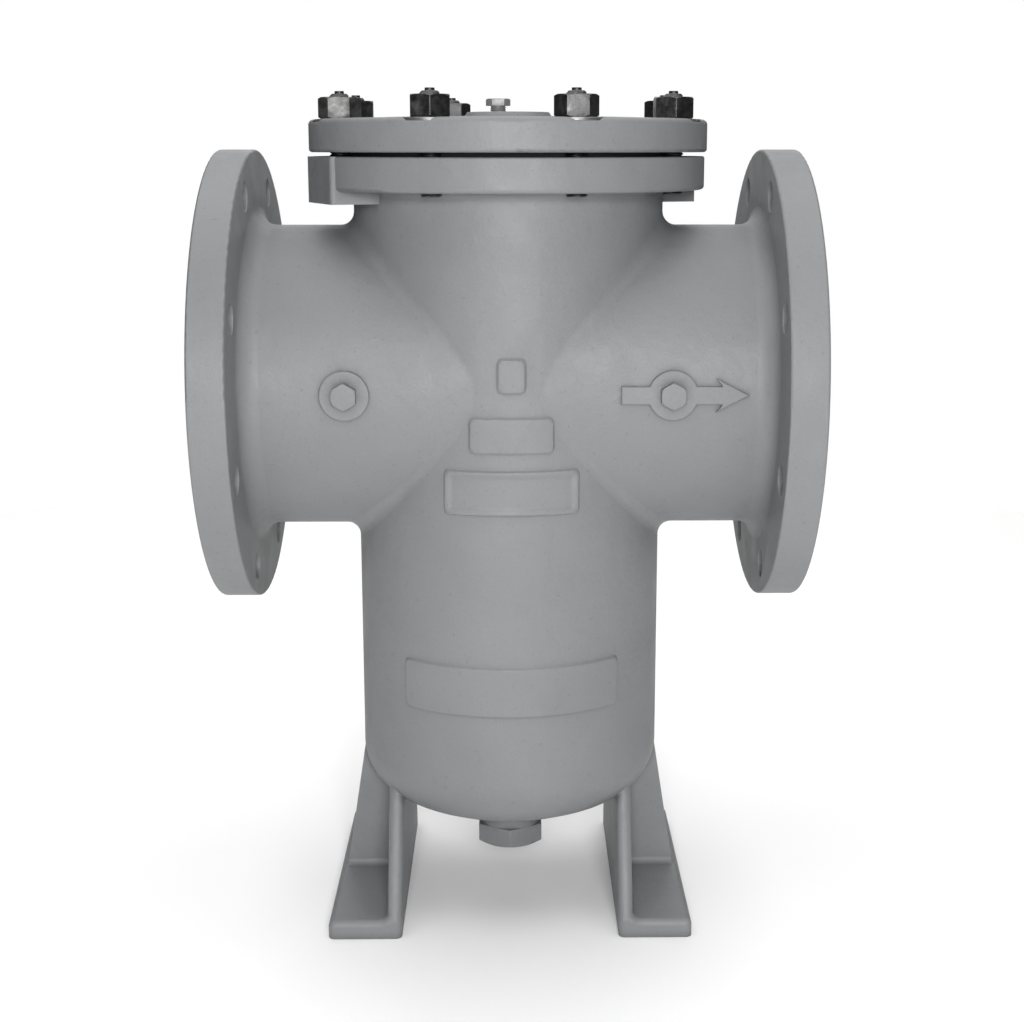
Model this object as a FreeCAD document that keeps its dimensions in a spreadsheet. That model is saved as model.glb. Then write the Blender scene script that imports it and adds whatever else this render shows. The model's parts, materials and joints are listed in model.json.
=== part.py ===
import FreeCAD, Part
import math
import os
import re
import Sketcher

# An 8-inch Class 150 in-line basket strainer: a cast body on two saddle legs, a bolted cover, a
# vent plug, two gauge plugs, a drain plug and a lift-out basket with a bail handle.
# Millimetres. The origin is on the floor under the middle of the body. +Z is up, +X points to
# the outlet and -Y is the front. Heights in the table are measured from the pipe centreline.

SIZES = (
    ("pipe_height", 420.0, "pipe centreline above the floor"),
    ("half_length", 220.0, "body centre to each pipe joint face"),
    ("bore_radius", 101.6, "bore of the pipe run and of the vessel"),
    ("end_flange_radius", 171.45, "pipe flange outside"),
    ("end_flange_depth", 28.6, "pipe flange thickness with its raised face"),
    ("raised_face_radius", 134.95, "raised joint face outside"),
    ("raised_face_height", 1.6, "raised joint face height"),
    ("end_bolt_ring", 149.25, "radius through the pipe flange bolt holes"),
    ("end_bolt_hole", 11.1, "pipe flange bolt hole radius"),
    ("neck_radius", 115.0, "outside of the two necks"),
    ("neck_fillet", 14.0, "neck to pipe flange fillet"),
    ("barrel_radius", 117.5, "outside of the vessel barrel"),
    ("junction_fillet", 11.0, "neck to barrel fillet"),
    ("head_level", -294.5, "where the barrel turns into the bottom head"),
    ("knuckle_radius", 40.6, "small radius of the bottom head, outside"),
    ("crown_radius", 212.6, "large radius of the bottom head, outside"),
    ("wall", 15.9, "casting wall"),
    ("flange_edge", 1.5, "rounding of flange edges"),
    ("underside_edge", 3.0, "rounding of the body flange's lower edge"),
    ("top_flange_radius", 148.3, "body flange under the cover"),
    ("top_flange_low", 142.0, "underside of the body flange"),
    ("top_flange_high", 166.5, "gasket face of the body flange"),
    ("top_flange_fillet", 5.0, "barrel to body flange fillet"),
    ("left_lug_low", 132.8, "underside of the left cast lug"),
    ("left_lug_reach", 148.0, "body centre to the end of the left lug"),
    ("left_lug_half", 33.5, "half width of the left lug"),
    ("right_lug_low", 131.5, "underside of the right cast lug"),
    ("right_lug_reach", 146.0, "body centre to the end of the right lug"),
    ("right_lug_half", 25.0, "half width of the right lug"),
    ("lug_angle", 21.0, "lug direction, degrees from the pipe axis"),
    ("lug_edge", 3.0, "rounding of the left lug's upright corners"),
    ("rib_inner", 83.0, "inner face of a leg's cross rib"),
    ("rib_depth", 11.0, "thickness of a leg's cross rib"),
    ("rib_top", -305.0, "top of the cross rib, hidden in the head"),
    ("rib_top_half", 59.5, "half width of the cross rib at its top"),
    ("web_half", 6.0, "half thickness of a leg's centre web"),
    ("web_top", -300.0, "top of the centre web"),
    ("web_top_reach", 117.0, "outer edge of the web at its top"),
    ("web_foot_reach", 133.5, "outer edge of the web where it meets the foot"),
    ("foot_reach", 139.0, "outer edge of a foot"),
    ("foot_half", 110.0, "half length of a foot, front to back"),
    ("foot_depth", 14.0, "thickness of a foot"),
    ("leg_edge", 5.0, "rounding and fillets of the legs"),
    ("port_reach", 117.0, "body centre to each gauge port"),
    ("port_boss_radius", 18.0, "gauge port boss"),
    ("port_relief", 2.5, "boss and flow arrow height above the neck"),
    ("relief_edge", 1.0, "rounding of the boss and arrow edges"),
    ("arrow_tail", 80.0, "body centre to the arrow's tail"),
    ("arrow_tip", 171.6, "body centre to the arrow's tip"),
    ("arrow_barb", 148.0, "body centre to the arrow's barbs"),
    ("arrow_notch", 152.0, "body centre to where the shaft meets the arrow head"),
    ("arrow_shaft_half", 6.5, "half height of the arrow's shaft"),
    ("arrow_head_half", 12.0, "half height of the arrow's head"),
    ("drain_boss_radius", 25.5, "drain boss"),
    ("drain_boss_low", -368.0, "end of the drain boss"),
    ("ledge_depth", 12.0, "thickness of the inclined basket ledge"),
    ("ledge_opening", 88.0, "radius of the round way through the ledge"),
    ("cover_radius", 150.0, "cover outside"),
    ("cover_low", 169.5, "underside of the cover"),
    ("cover_high", 193.3, "top of the cover's rim"),
    ("cover_rounding", 4.0, "rounding of the cover's top edge"),
    ("cover_low_rounding", 2.5, "rounding of the cover's lower edge"),
    ("plateau_radius", 108.5, "foot of the cover's raised middle"),
    ("plateau_high", 194.4, "top of the cover's raised middle"),
    ("cover_boss_radius", 34.0, "foot of the cover's centre boss"),
    ("cover_boss_flat", 31.0, "top radius of the cover's centre boss"),
    ("cover_boss_high", 199.0, "top of the cover's centre boss"),
    ("cover_bolt_ring", 131.0, "radius through the cover studs"),
    ("bolt_count", 8.0, "studs in the cover, and bolt holes in a pipe flange"),
    ("bolt_turn", -1.5, "how far the cover's studs are turned about the vertical, degrees"),
    ("spot_face_radius", 20.5, "machined seat under a washer"),
    ("spot_face_depth", 2.5, "depth of that seat"),
    ("cover_bolt_hole", 8.75, "clearance hole for a stud"),
    ("stud_radius", 7.94, "5/8 inch stud"),
    ("stud_low", 139.5, "lower end of a stud"),
    ("stud_high", 213.0, "upper end of a stud"),
    ("stud_chamfer", 1.5, "chamfer of a stud's lower end"),
    ("stud_shoulder", 211.0, "where a stud's thread has run out at the top"),
    ("stud_taper", 2.4, "chamfer under that shoulder"),
    ("stud_point", 3.6, "radius of the short plain point on top of a stud"),
    ("thread_clearance", 0.06, "radial clearance of every threaded pair"),
    ("washer_radius", 16.65, "5/8 inch flat washer outside"),
    ("washer_hole", 8.4, "5/8 inch flat washer hole radius"),
    ("washer_depth", 2.4, "5/8 inch flat washer thickness"),
    ("washer_edge", 0.3, "chamfer of a washer's outer edges"),
    ("nut_flats", 27.0, "5/8 inch heavy hexagon nut across flats"),
    ("nut_height", 15.5, "5/8 inch heavy hexagon nut height"),
    ("nut_turn", 3.0, "direction of the first nut's corner, degrees"),
    ("gasket_inner", 104.0, "gasket inside radius"),
    ("gasket_outer", 121.0, "gasket outside radius"),
    ("vent_offset", -7.5, "vent plug axis from the body centre"),
    ("vent_seat", 203.7, "underside of the vent plug's head"),
    ("vent_flats", 16.0, "vent plug across flats"),
    ("vent_head", 5.3, "vent plug head height"),
    ("vent_radius", 6.0, "vent plug thread"),
    ("vent_reach", 30.0, "vent plug length below its head"),
    ("gauge_flats", 17.5, "gauge plug across flats"),
    ("gauge_head", 6.0, "gauge plug head height"),
    ("gauge_radius", 8.0, "gauge plug thread"),
    ("gauge_reach", 14.0, "gauge plug length below its head"),
    ("drain_flats", 50.8, "drain plug across flats"),
    ("drain_head", 16.0, "drain plug head height"),
    ("drain_radius", 20.9, "drain plug thread"),
    ("drain_reach", 24.0, "drain plug length above its head"),
    ("seat_gap", 0.3, "clearance between the ledge and the basket rim"),
    ("rim_depth", 5.0, "basket rim thickness"),
    ("rim_outer", 99.0, "basket rim outside radius"),
    ("rim_inner", 72.0, "basket rim inside radius"),
    ("shell_radius", 82.0, "perforated shell outside radius"),
    ("sheet", 1.5, "perforated sheet thickness"),
    ("mesh_radius", 80.2, "mesh liner outside radius"),
    ("mesh_depth", 0.6, "mesh liner thickness"),
    ("basket_floor", -289.0, "top of the basket's bottom plate"),
    ("floor_depth", 2.5, "bottom plate thickness"),
    ("band_inner", 82.1, "inside of the bottom band and of the seam strip"),
    ("band_outer", 84.5, "bottom band outside radius"),
    ("band_height", 15.0, "bottom band height"),
    ("seam_depth", 1.4, "seam strip thickness"),
    ("seam_sweep", 10.0, "angle that the seam strip covers"),
    ("ear_face", 86.0, "inner face of a handle ear"),
    ("ear_depth", 3.0, "handle ear thickness"),
    ("ear_half", 12.0, "half width of a handle ear"),
    ("pivot_height", 34.0, "handle pivot"),
    ("handle_wire", 4.0, "handle rod radius"),
    ("handle_half", 76.0, "half width of the handle"),
    ("handle_leg", 40.0, "pivot to where the handle's bow starts"),
    ("handle_bend", 8.0, "bend from the handle's leg to its pin"),
    ("handle_pin", 93.0, "body centre to the end of a handle pin"),
    ("handle_fold", 48.9, "how far below level the folded handle lies, degrees"),
)

document = FreeCAD.newDocument("basket_strainer")
sheet = document.addObject("Spreadsheet::Sheet", "Dim")
for row, (alias, size, meaning) in enumerate(SIZES, start=1):
    sheet.set(f"A{row}", meaning)
    sheet.set(f"B{row}", str(size))
    sheet.setAlias(f"B{row}", alias)
document.recompute()

ALIASES = {alias for alias, size, meaning in SIZES}
SLOPE_LENGTH = "sqrt(2)"    # upright millimetres in 1 mm square to the 45 degree basket ledge
HEAD_SINE = "(barrel_radius - knuckle_radius) / (crown_radius - knuckle_radius)"
LEDGE_TOP = f"(ledge_depth / 2 * {SLOPE_LENGTH})"
RIM_LOW = f"((ledge_depth / 2 + seat_gap) * {SLOPE_LENGTH})"
RIM_HIGH = f"((ledge_depth / 2 + seat_gap + rim_depth) * {SLOPE_LENGTH})"
FIRST_STUD = ("cover_bolt_ring * cos(180 / bolt_count + bolt_turn)",
              "cover_bolt_ring * sin(180 / bolt_count + bolt_turn)")


# ---- helpers -----------------------------------------------------------------------------------

def bound(expression):
    """The expression with each size's name turned into a reference to its cell."""
    return re.sub(r"[a-z_]+", lambda word: f"Dim.{word[0]}" if word[0] in ALIASES else word[0],
                  str(expression))


def value(expression):
    """The number that an expression works out to."""
    result = sheet.evalExpression(bound(expression))
    return float(getattr(result, "Value", result))


def origin_feature(body, role):
    """A plane or an axis of the body's own origin."""
    return next(feature for feature in body.Origin.OriginFeatures if feature.Role == role)


def add_body(name, height="pipe_height"):
    """A new body, lifted to the height that its own zero lies at."""
    body = document.addObject("PartDesign::Body", name)
    body.Label = name
    body.setExpression("Placement.Base.z", bound(height))
    return body


def add_sketch(body, name, plane, offset=None):
    """A sketch on one of the body's origin planes; XZ faces -Y, so an offset there goes forwards."""
    sketch = body.newObject("Sketcher::SketchObject", name)
    sketch.AttachmentSupport = [(origin_feature(body, plane), "")]
    sketch.MapMode = "FlatFace"
    if offset is not None:
        sketch.setExpression("AttachmentOffset.Base.z", bound(offset))
    return sketch


def pin_point(sketch, edge, end, across, up):
    """Hold one point of an edge at two expressions, or on an axis where one is zero."""
    for kind, axis, place in (("DistanceX", -2, across), ("DistanceY", -1, up)):
        if str(place) == "0":
            sketch.addConstraint(Sketcher.Constraint("PointOnObject", edge, end, axis))
            continue
        index = sketch.addConstraint(Sketcher.Constraint(kind, edge, end, value(place)))
        sketch.setExpression(f"Constraints[{index}]", bound(place))


def add_radius(sketch, edge, radius):
    """Bind the radius of a circle or an arc."""
    index = sketch.addConstraint(Sketcher.Constraint("Radius", edge, value(radius)))
    sketch.setExpression(f"Constraints[{index}]", bound(radius))


def add_circle(sketch, across, up, radius):
    """A circle whose centre and radius are expressions."""
    centre = FreeCAD.Vector(value(across), value(up), 0)
    edge = sketch.addGeometry(Part.Circle(centre, FreeCAD.Vector(0, 0, 1), value(radius)))
    pin_point(sketch, edge, 3, across, up)
    add_radius(sketch, edge, radius)


def arc_between(start, end, radius, anticlockwise):
    """The shorter arc between two points."""
    chord = end - start
    rise = math.sqrt(max(radius ** 2 - (chord.Length / 2) ** 2, 0.0))
    left = FreeCAD.Vector(-chord.y, chord.x, 0).normalize()
    centre = (start + end) * 0.5 + left * (rise if anticlockwise else -rise)
    first, last = (start, end) if anticlockwise else (end, start)
    angles = [math.atan2(point.y - centre.y, point.x - centre.x) for point in (first, last)]
    if angles[1] < angles[0]:
        angles[1] += 2 * math.pi
    return Part.ArcOfCircle(Part.Circle(centre, FreeCAD.Vector(0, 0, 1), radius), *angles)


def add_outline(sketch, corners, closed=True):
    """Lines and arcs through corners. A corner is (across, up), or (across, up, radius, turn) where
    the edge that leaves it is an arc; turn is "left" for anticlockwise or "right"."""
    points = [FreeCAD.Vector(value(corner[0]), value(corner[1]), 0) for corner in corners]
    count = len(corners) if closed else len(corners) - 1
    edges = []
    for place in range(count):
        corner = corners[place]
        start, end = points[place], points[(place + 1) % len(points)]
        anticlockwise = len(corner) == 2 or corner[3] == "left"
        if len(corner) == 2:
            edge = sketch.addGeometry(Part.LineSegment(start, end))
        else:
            edge = sketch.addGeometry(arc_between(start, end, value(corner[2]), anticlockwise))
            add_radius(sketch, edge, corner[2])
        edges.append((edge, 1, 2) if anticlockwise else (edge, 2, 1))
    for place in range(count if closed else count - 1):
        this, following = edges[place], edges[(place + 1) % count]
        sketch.addConstraint(Sketcher.Constraint("Coincident", this[0], this[2], following[0], following[1]))
    for place in range(count):
        pin_point(sketch, edges[place][0], edges[place][1], corners[place][0], corners[place][1])
    if not closed:
        pin_point(sketch, edges[-1][0], edges[-1][2], corners[-1][0], corners[-1][1])


def feature(body, kind, name, sketch):
    """A PartDesign feature made from a sketch."""
    made = body.newObject(f"PartDesign::{kind}", name)
    made.Profile = sketch
    return made


def revolve(body, name, sketch, axis="V_Axis", kind="Revolution"):
    """Turn a sketch right round one of its own axes, adding or (as a Groove) cutting."""
    made = feature(body, kind, name, sketch)
    made.ReferenceAxis = (sketch, [axis])
    made.Angle = 360
    document.recompute()
    return made


def extrude(body, name, sketch, length, kind="Pad", backwards=False, both_ways=False):
    """Pad or Pocket a sketch over a length."""
    made = feature(body, kind, name, sketch)
    made.Reversed = backwards
    if both_ways:
        made.SideType = "Symmetric"
    made.setExpression("Length", bound(length))
    document.recompute()
    return made


def cut(body, name, sketch, length, backwards=False, both_ways=False):
    """Pocket a sketch, and make sure that it takes material away."""
    before = body.Shape.Volume
    made = extrude(body, name, sketch, length, "Pocket", backwards, both_ways)
    if body.Shape.Volume >= before:
        raise RuntimeError(f"{name} cuts nothing")
    return made


def repeat_round(body, name, original, axis):
    """Repeat a feature once for each bolt, evenly round an axis of the body."""
    pattern = body.newObject("PartDesign::PolarPattern", name)
    pattern.Originals = [original]
    pattern.Axis = (origin_feature(body, axis), [""])
    pattern.Angle = 360
    pattern.setExpression("Occurrences", bound("bolt_count"))
    body.Tip = pattern
    document.recompute()
    return pattern


def fillet(body, name, radius, wanted):
    """Round the edges of the body that the test picks out."""
    names = [f"Edge{number}" for number, edge in enumerate(body.Shape.Edges, start=1)
             if wanted(edge)]
    base = body.Tip
    made = body.newObject("PartDesign::Fillet", name)
    made.Base = (base, names)
    made.setExpression("Radius", bound(radius))
    document.recompute()
    return made


def in_body_frame(edge, body):
    """The middle of an edge's box, measured from the pipe centreline."""
    return edge.BoundBox.Center - body.Placement.Base


def is_circle(edge, radius, centre, tolerance=0.01):
    """True if the edge is part of a circle of that radius round that centre."""
    curve = edge.Curve
    if not isinstance(curve, Part.Circle):
        return False
    return abs(curve.Radius - radius) < tolerance and (curve.Center - centre).Length < tolerance


# ---- the cast body -----------------------------------------------------------------------------

def head_corners(inset):
    """The bottom head's two arcs, from the barrel to the axis side, moved in by the inset."""
    head_cosine = f"sqrt(1 - ({HEAD_SINE})^2)"
    return [
        (f"barrel_radius - {inset}", "head_level", f"knuckle_radius - {inset}", "right"),
        (f"(crown_radius - {inset}) * {HEAD_SINE}",
         f"head_level - (knuckle_radius - {inset}) * {head_cosine}", f"crown_radius - {inset}", "right"),
    ]


def crown_level(radius, inset):
    """The height of the bottom head at a radius near its middle."""
    centre = "head_level + sqrt((crown_radius - knuckle_radius)^2 - (barrel_radius - knuckle_radius)^2)"
    return f"{centre} - sqrt((crown_radius - {inset})^2 - ({radius})^2)"


def add_vessel(casting):
    """The upright barrel with its top flange, bottom head and drain boss."""
    section = add_sketch(casting, "vessel_section", "XZ_Plane")
    add_outline(section, [
        ("0", "top_flange_high"),
        ("top_flange_radius", "top_flange_high"),
        ("top_flange_radius", "top_flange_low"),
        ("barrel_radius", "top_flange_low"),
        *head_corners("0"),
        ("drain_boss_radius", crown_level("drain_boss_radius", "0")),
        ("drain_boss_radius", "drain_boss_low"),
        ("0", "drain_boss_low"),
    ])
    revolve(casting, "vessel", section)


def add_pipe_run(casting):
    """The two necks and their pipe flanges, as one turned shape along X."""
    section = add_sketch(casting, "run_section", "XZ_Plane")
    half = [
        ("half_length", "raised_face_radius"),
        ("half_length - raised_face_height", "raised_face_radius"),
        ("half_length - raised_face_height", "end_flange_radius"),
        ("half_length - end_flange_depth", "end_flange_radius"),
        ("half_length - end_flange_depth", "neck_radius"),
    ]
    other_half = [(f"-({across})", up) for across, up in reversed(half)]
    add_outline(section, [("half_length", "0"), *half, *other_half, ("-half_length", "0")])
    revolve(casting, "pipe_run", section, "H_Axis")


def round_casting(casting):
    """The foundry fillets where the necks, the barrel and the flanges meet."""
    neck, barrel = value("neck_radius"), value("barrel_radius")
    fillet(casting, "junction_fillets", "junction_fillet",
           lambda edge: not isinstance(edge.Curve, (Part.Circle, Part.Line))
           and abs(in_body_frame(edge, casting).x) < barrel and abs(in_body_frame(edge, casting).z) < neck)
    lift = casting.Placement.Base.z
    flange_back = value("half_length - end_flange_depth")
    for side in (-1, 1):
        centre = FreeCAD.Vector(side * flange_back, 0, lift)
        fillet(casting, "neck_fillet", "neck_fillet", lambda edge: is_circle(edge, neck, centre))
    underside = FreeCAD.Vector(0, 0, lift + value("top_flange_low"))
    fillet(casting, "top_flange_fillet", "top_flange_fillet",
           lambda edge: is_circle(edge, barrel, underside))


def round_flanges(casting):
    """Break the sharp outer edges of the three flanges."""
    lift = casting.Placement.Base.z
    rims = [(value("end_flange_radius"), FreeCAD.Vector(side * reach, 0, lift)) for side in (-1, 1)
            for reach in (value("half_length - raised_face_height"), value("half_length - end_flange_depth"))]
    outside = value("top_flange_radius")
    rims.append((outside, FreeCAD.Vector(0, 0, lift + value("top_flange_high"))))
    fillet(casting, "flange_edges", "flange_edge",
           lambda edge: any(is_circle(edge, radius, centre) for radius, centre in rims))
    underside = FreeCAD.Vector(0, 0, lift + value("top_flange_low"))
    fillet(casting, "underside_edge", "underside_edge",
           lambda edge: is_circle(edge, outside, underside))


def add_lugs(casting):
    """The two cast pads under the body flange. The left one stands out past it."""
    for name, turn in (("left_lug", "180 + lug_angle"), ("right_lug", "lug_angle")):
        reach, half, low = f"{name}_reach", f"{name}_half", f"{name}_low"
        plan = add_sketch(casting, f"{name}_plan", "XY_Plane", low)
        along, across = f"cos({turn})", f"sin({turn})"
        corners = []
        for distance, sideways in (("bore_radius", f"-{half}"), (reach, f"-{half}"),
                                   (reach, half), ("bore_radius", half)):
            corners.append((f"{distance} * {along} - ({sideways}) * {across}",
                            f"{distance} * {across} + ({sideways}) * {along}"))
        add_outline(plan, corners)
        extrude(casting, name, plan, f"top_flange_high - {low}")
    fillet(casting, "lug_corners", "lug_edge", lambda edge: is_lug_corner(edge, casting))


def is_lug_corner(edge, casting):
    """True for an upright corner of a lug outside the body flange."""
    box = edge.BoundBox
    middle = in_body_frame(edge, casting)
    upright = max(box.XLength, box.YLength) < 0.01 and box.ZLength > 1
    return upright and math.hypot(middle.x, middle.y) > value("top_flange_radius + 1")


def make_leg():
    """The right saddle leg by itself: a cross rib, a centre web and a foot, rounded all over. Its
    top is hidden in the bottom head."""
    leg = add_body("right_leg")
    rib = add_sketch(leg, "rib_outline", "YZ_Plane", "rib_inner")
    add_outline(rib, [
        ("-foot_half", "-pipe_height"),
        ("foot_half", "-pipe_height"),
        ("foot_half", "foot_depth - pipe_height"),
        ("rib_top_half", "rib_top"),
        ("-rib_top_half", "rib_top"),
        ("-foot_half", "foot_depth - pipe_height"),
    ])
    extrude(leg, "rib", rib, "rib_depth")
    web = add_sketch(leg, "web_outline", "XZ_Plane")
    add_outline(web, [
        ("rib_inner + rib_depth / 2", "foot_depth / 2 - pipe_height"),
        ("web_foot_reach", "foot_depth / 2 - pipe_height"),
        ("web_foot_reach", "foot_depth - pipe_height"),
        ("web_top_reach", "web_top"),
        ("rib_inner + rib_depth / 2", "web_top"),
    ])
    extrude(leg, "web", web, "2 * web_half", both_ways=True)
    foot = add_sketch(leg, "foot_outline", "XY_Plane", "-pipe_height")
    add_outline(foot, [
        ("rib_inner", "-foot_half"),
        ("foot_reach", "-foot_half"),
        ("foot_reach", "foot_half"),
        ("rib_inner", "foot_half"),
    ])
    extrude(leg, "foot", foot, "foot_depth")
    fillet(leg, "leg_edges", "leg_edge", lambda edge: is_leg_edge(edge, leg))
    return leg


def is_leg_edge(edge, leg):
    """True for the edges of a leg that are rounded: not its sole, its hidden top or the web's own."""
    box = edge.BoundBox
    middle = in_body_frame(edge, leg)
    foot_top = value("foot_depth - pipe_height")
    on_foot_top = abs(middle.z - foot_top) < 0.01 and box.XLength + box.YLength > 2 * value("web_half") + 1
    on_rib_end = abs(abs(middle.y) - value("foot_half")) < 0.01 and middle.z > foot_top - value("foot_depth")
    along_rib = box.XLength < 0.01 and box.ZLength > value("foot_depth")
    return on_foot_top or on_rib_end or along_rib


def add_port_bosses(casting):
    """A round boss on the front of each neck; the outlet's sits in a raised flow arrow."""
    face = "neck_radius + port_relief"
    depth = "neck_radius + port_relief - bore_radius"
    for name, across in (("inlet_boss", "-port_reach"), ("outlet_boss", "port_reach")):
        outline = add_sketch(casting, f"{name}_outline", "XZ_Plane", face)
        add_circle(outline, across, "0", "port_boss_radius")
        extrude(casting, name, outline, depth, backwards=True)
    arrow = add_sketch(casting, "arrow_outline", "XZ_Plane", face)
    add_outline(arrow, [
        ("arrow_tail", "-arrow_shaft_half"),
        ("arrow_notch", "-arrow_shaft_half"),
        ("arrow_barb", "-arrow_head_half"),
        ("arrow_tip", "0"),
        ("arrow_barb", "arrow_head_half"),
        ("arrow_notch", "arrow_shaft_half"),
        ("arrow_tail", "arrow_shaft_half"),
    ])
    extrude(casting, "flow_arrow", arrow, depth, backwards=True)
    front = -value(face)
    fillet(casting, "relief_edges", "relief_edge",
           lambda edge: abs(edge.BoundBox.YMin - front) < 0.01 and abs(edge.BoundBox.YMax - front) < 0.01)


def drill_casting(casting):
    """The pipe bolt holes, the stud holes and the three threaded ports of the body."""
    for name, side in (("inlet", "-"), ("outlet", "")):
        hole = add_sketch(casting, f"{name}_hole_outline", "YZ_Plane", f"{side}half_length")
        add_circle(hole, "end_bolt_ring * cos(180 / bolt_count)", "end_bolt_ring * sin(180 / bolt_count)",
                   "end_bolt_hole")
        first = cut(casting, f"{name}_bolt_hole", hole, "end_flange_depth + 1", backwards=side == "-")
        repeat_round(casting, f"{name}_bolt_holes", first, "X_Axis")
    stud_hole = add_sketch(casting, "stud_hole_outline", "XY_Plane", "top_flange_high")
    add_circle(stud_hole, *FIRST_STUD, "stud_radius + thread_clearance")
    first = cut(casting, "stud_hole", stud_hole, "top_flange_high - right_lug_low + 1")
    repeat_round(casting, "stud_holes", first, "Z_Axis")
    for name, across in (("inlet_port", "-port_reach"), ("outlet_port", "port_reach")):
        port = add_sketch(casting, f"{name}_outline", "XZ_Plane", "neck_radius + port_relief")
        add_circle(port, across, "0", "gauge_radius + thread_clearance")
        cut(casting, name, port, "neck_radius + port_relief - bore_radius + wall")
    drain = add_sketch(casting, "drain_port_outline", "XY_Plane", "drain_boss_low")
    add_circle(drain, "0", "0", "drain_radius + thread_clearance")
    cut(casting, "drain_port", drain, "wall + 2 * drain_reach", backwards=True)


def make_cavity():
    """The space inside the body: the vessel bore and the pipe bore, less the inclined ledge that
    carries the basket, which runs from low on the inlet side to high on the outlet side."""
    cavity = add_body("cavity")
    inside = add_sketch(cavity, "vessel_bore_section", "XZ_Plane")
    add_outline(inside, [
        ("0", "cover_low"),
        ("barrel_radius - wall", "cover_low"),
        *head_corners("wall"),
        ("0", crown_level("0", "wall")),
    ])
    revolve(cavity, "vessel_bore", inside)
    across = add_sketch(cavity, "pipe_bore_outline", "YZ_Plane")
    add_circle(across, "0", "0", "bore_radius")
    extrude(cavity, "pipe_bore", across, "2 * (half_length + 1)", both_ways=True)
    strip = add_sketch(cavity, "ledge_outline", "XZ_Plane")
    add_outline(strip, [
        ("-half_length", f"-half_length - {LEDGE_TOP}"),
        ("half_length", f"half_length - {LEDGE_TOP}"),
        ("half_length", f"half_length + {LEDGE_TOP}"),
        ("-half_length", f"-half_length + {LEDGE_TOP}"),
    ])
    cut(cavity, "ledge", strip, "3 * bore_radius", both_ways=True)
    opening = add_sketch(cavity, "ledge_opening_outline", "XY_Plane")
    add_circle(opening, "0", "0", "ledge_opening")
    extrude(cavity, "ledge_way", opening, f"2 * (ledge_opening + {LEDGE_TOP})", both_ways=True)
    return cavity


def make_body():
    """The whole body casting."""
    casting = add_body("casting")
    add_vessel(casting)
    add_pipe_run(casting)
    round_casting(casting)
    round_flanges(casting)
    add_lugs(casting)
    add_port_bosses(casting)
    drill_casting(casting)
    right_leg = make_leg()
    left_leg = document.addObject("Part::Mirroring", "left_leg")
    left_leg.Source = right_leg
    left_leg.Normal = FreeCAD.Vector(1, 0, 0)
    outside = document.addObject("Part::MultiFuse", "outside")
    outside.Shapes = [casting, right_leg, left_leg]
    body = document.addObject("Part::Cut", "body")
    body.Base = outside
    body.Tool = make_cavity()
    return body


# ---- the cover and its fasteners ---------------------------------------------------------------

def make_cover():
    """A round cover with a low plateau, a centre boss, eight spot-faced holes and a vent hole."""
    cover = add_body("cover")
    section = add_sketch(cover, "cover_section", "XZ_Plane")
    plateau_slope = "plateau_high - cover_high"
    add_outline(section, [
        ("0", "cover_low"),
        ("cover_radius - cover_low_rounding", "cover_low", "cover_low_rounding", "left"),
        ("cover_radius", "cover_low + cover_low_rounding"),
        ("cover_radius", "cover_high - cover_rounding", "cover_rounding", "left"),
        ("cover_radius - cover_rounding", "cover_high"),
        ("plateau_radius", "cover_high"),
        (f"plateau_radius - ({plateau_slope})", "plateau_high"),
        ("cover_boss_radius", "plateau_high"),
        ("cover_boss_flat", "cover_boss_high"),
        ("0", "cover_boss_high"),
    ])
    revolve(cover, "cover_disc", section)
    seat = add_sketch(cover, "spot_face_outline", "XY_Plane", "cover_high")
    add_circle(seat, *FIRST_STUD, "spot_face_radius")
    repeat_round(cover, "spot_faces", cut(cover, "spot_face", seat, "spot_face_depth"), "Z_Axis")
    hole = add_sketch(cover, "cover_hole_outline", "XY_Plane", "cover_high")
    add_circle(hole, *FIRST_STUD, "cover_bolt_hole")
    first = cut(cover, "cover_hole", hole, "cover_high - cover_low + 1")
    repeat_round(cover, "cover_holes", first, "Z_Axis")
    vent = add_sketch(cover, "vent_hole_outline", "XY_Plane", "cover_boss_high")
    add_circle(vent, "vent_offset", "0", "vent_radius + thread_clearance")
    cut(cover, "vent_hole", vent, "cover_boss_high - cover_low + 1")
    return cover


def make_gasket():
    """The flat ring between the body flange and the cover, inside the studs."""
    gasket = add_body("cover_gasket")
    ring = add_sketch(gasket, "gasket_outline", "XY_Plane", "top_flange_high")
    add_circle(ring, "0", "0", "gasket_outer")
    add_circle(ring, "0", "0", "gasket_inner")
    extrude(gasket, "gasket_ring", ring, "cover_low - top_flange_high")
    return gasket


def place_on_bolt_ring(body, number):
    """Move a fastener out to its own place on the cover's bolt ring; the first is number 1."""
    angle = f"360 / bolt_count * ({number} - 0.5) + bolt_turn"
    body.setExpression("Placement.Base.x", bound(f"cover_bolt_ring * cos({angle})"))
    body.setExpression("Placement.Base.y", bound(f"cover_bolt_ring * sin({angle})"))


def make_stud(number):
    """A cover stud, screwed through the body flange. It ends in a short plain point."""
    stud = add_body(f"cover_stud_{number}")
    section = add_sketch(stud, f"stud_section_{number}", "XZ_Plane")
    add_outline(section, [
        ("0", "stud_low"),
        ("stud_radius - stud_chamfer", "stud_low"),
        ("stud_radius", "stud_low + stud_chamfer"),
        ("stud_radius", "stud_shoulder - stud_taper"),
        ("stud_radius - stud_taper", "stud_shoulder"),
        ("stud_point", "stud_shoulder"),
        ("stud_point", "stud_high"),
        ("0", "stud_high"),
    ])
    revolve(stud, f"stud_turning_{number}", section)
    place_on_bolt_ring(stud, number)
    return stud


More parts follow.
